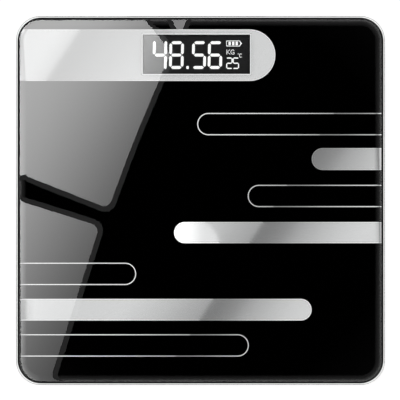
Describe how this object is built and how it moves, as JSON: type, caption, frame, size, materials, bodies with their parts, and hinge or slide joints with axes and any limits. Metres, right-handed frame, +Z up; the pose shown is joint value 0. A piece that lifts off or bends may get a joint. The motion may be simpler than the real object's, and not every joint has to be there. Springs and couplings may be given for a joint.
{
  "type": "digital bathroom scale",
  "caption": "Square glass bathroom scale with a lit display under the top, load-cell feet, an electronics case and a hinged battery door.",
  "frame": {"origin": "on the floor under the middle of the platform", "axes": "+Z up; the display end is towards +Y and its figures read upright from -Y; +X is to the reader's right"},
  "size_m": [0.28, 0.28, 0.023],
  "materials": {
    "tempered_glass": "clear tempered glass, polished, ground edge",
    "back_print": "black screen print seen through the glass, with mirror-silver shapes",
    "foam_tape": "white acrylic foam tape",
    "housing_plastic": "fine-textured black ABS",
    "case_plastic": "fine-textured black ABS",
    "button_plastic": "smooth grey ABS",
    "pad_rubber": "matt grey rubber",
    "load_cell_steel": "zinc-plated steel",
    "gauge_silicone": "white silicone",
    "lead_jacket": "PVC ribbon",
    "display_glass": "dark liquid-crystal glass, lit figures",
    "light_guide": "milky acrylic",
    "connector_rubber": "layered conductive rubber",
    "circuit_board": "green solder mask on fibreglass",
    "chip_epoxy": "black epoxy",
    "contact_nickel": "nickel-plated spring steel",
    "cell_jacket": null,
    "screw_steel": "zinc-plated steel"
  },
  "bodies": {
    "platform": {"platform_glass": "tempered_glass", "printed_film": "back_print", "display_carrier": "case_plastic", "carrier_tape": "foam_tape", "lcd_front_glass": "display_glass", "lcd_rear_glass": "display_glass", "backlight_panel": "light_guide", "zebra_connector": "connector_rubber", "main_board": "circuit_board", "controller_chip": "chip_epoxy", "thermistor": "chip_epoxy", "unit_switch_body": "chip_epoxy", "rear_case": "case_plastic", "contact_bridge": "contact_nickel", "contact_positive": "contact_nickel", "contact_negative": "contact_nickel", "battery_front": "cell_jacket", "battery_rear": "cell_jacket", "battery_spring_front": "contact_nickel", "battery_spring_rear": "contact_nickel", "foot_housing_front_left": "housing_plastic", "housing_tape_front_left": "foam_tape", "load_cell_front_left": "load_cell_steel", "gauge_seal_front_left": "gauge_silicone", "wire_duct_front_left": "case_plastic", "cell_lead_front_left": "lead_jacket", "case_screw_front_left": "screw_steel", "foot_housing_front_right": "housing_plastic", "housing_tape_front_right": "foam_tape", "load_cell_front_right": "load_cell_steel", "gauge_seal_front_right": "gauge_silicone", "wire_duct_front_right": "case_plastic", "cell_lead_front_right": "lead_jacket", "case_screw_front_right": "screw_steel", "foot_housing_rear_left": "housing_plastic", "housing_tape_rear_left": "foam_tape", "load_cell_rear_left": "load_cell_steel", "gauge_seal_rear_left": "gauge_silicone", "wire_duct_rear_left": "case_plastic", "cell_lead_rear_left": "lead_jacket", "case_screw_rear_left": "screw_steel", "foot_housing_rear_right": "housing_plastic", "housing_tape_rear_right": "foam_tape", "load_cell_rear_right": "load_cell_steel", "gauge_seal_rear_right": "gauge_silicone", "wire_duct_rear_right": "case_plastic", "cell_lead_rear_right": "lead_jacket", "case_screw_rear_right": "screw_steel"},
    "foot_front_left": {"foot_plate_front_left": "housing_plastic", "rubber_pad_front_left": "pad_rubber"},
    "foot_front_right": {"foot_plate_front_right": "housing_plastic", "rubber_pad_front_right": "pad_rubber"},
    "foot_rear_left": {"foot_plate_rear_left": "housing_plastic", "rubber_pad_rear_left": "pad_rubber"},
    "foot_rear_right": {"foot_plate_rear_right": "housing_plastic", "rubber_pad_rear_right": "pad_rubber"},
    "battery_door": {"battery_door": "case_plastic"},
    "unit_button": {"unit_button": "button_plastic", "unit_switch_plunger": "chip_epoxy"}
  },
  "joints": [
    {"name": "foot_front_left_play", "type": "slide", "parent": "platform", "child": "foot_front_left", "axis": [0, 0, 1], "range_m": [-0.0008, 0]},
    {"name": "foot_front_right_play", "type": "slide", "parent": "platform", "child": "foot_front_right", "axis": [0, 0, 1], "range_m": [-0.0008, 0]},
    {"name": "foot_rear_left_play", "type": "slide", "parent": "platform", "child": "foot_rear_left", "axis": [0, 0, 1], "range_m": [-0.0008, 0]},
    {"name": "foot_rear_right_play", "type": "slide", "parent": "platform", "child": "foot_rear_right", "axis": [0, 0, 1], "range_m": [-0.0008, 0]},
    {"name": "battery_door_hinge", "type": "hinge", "parent": "platform", "child": "battery_door", "pos_m": [-0.0097, 0.0839, 0.00295], "axis": [1, 0, 0], "range_deg": [0, 80]},
    {"name": "unit_button_press", "type": "slide", "parent": "platform", "child": "unit_button", "axis": [0, 0, 1], "range_m": [0, 0.0005], "stiffness_N_per_m": 3000}
  ]
}
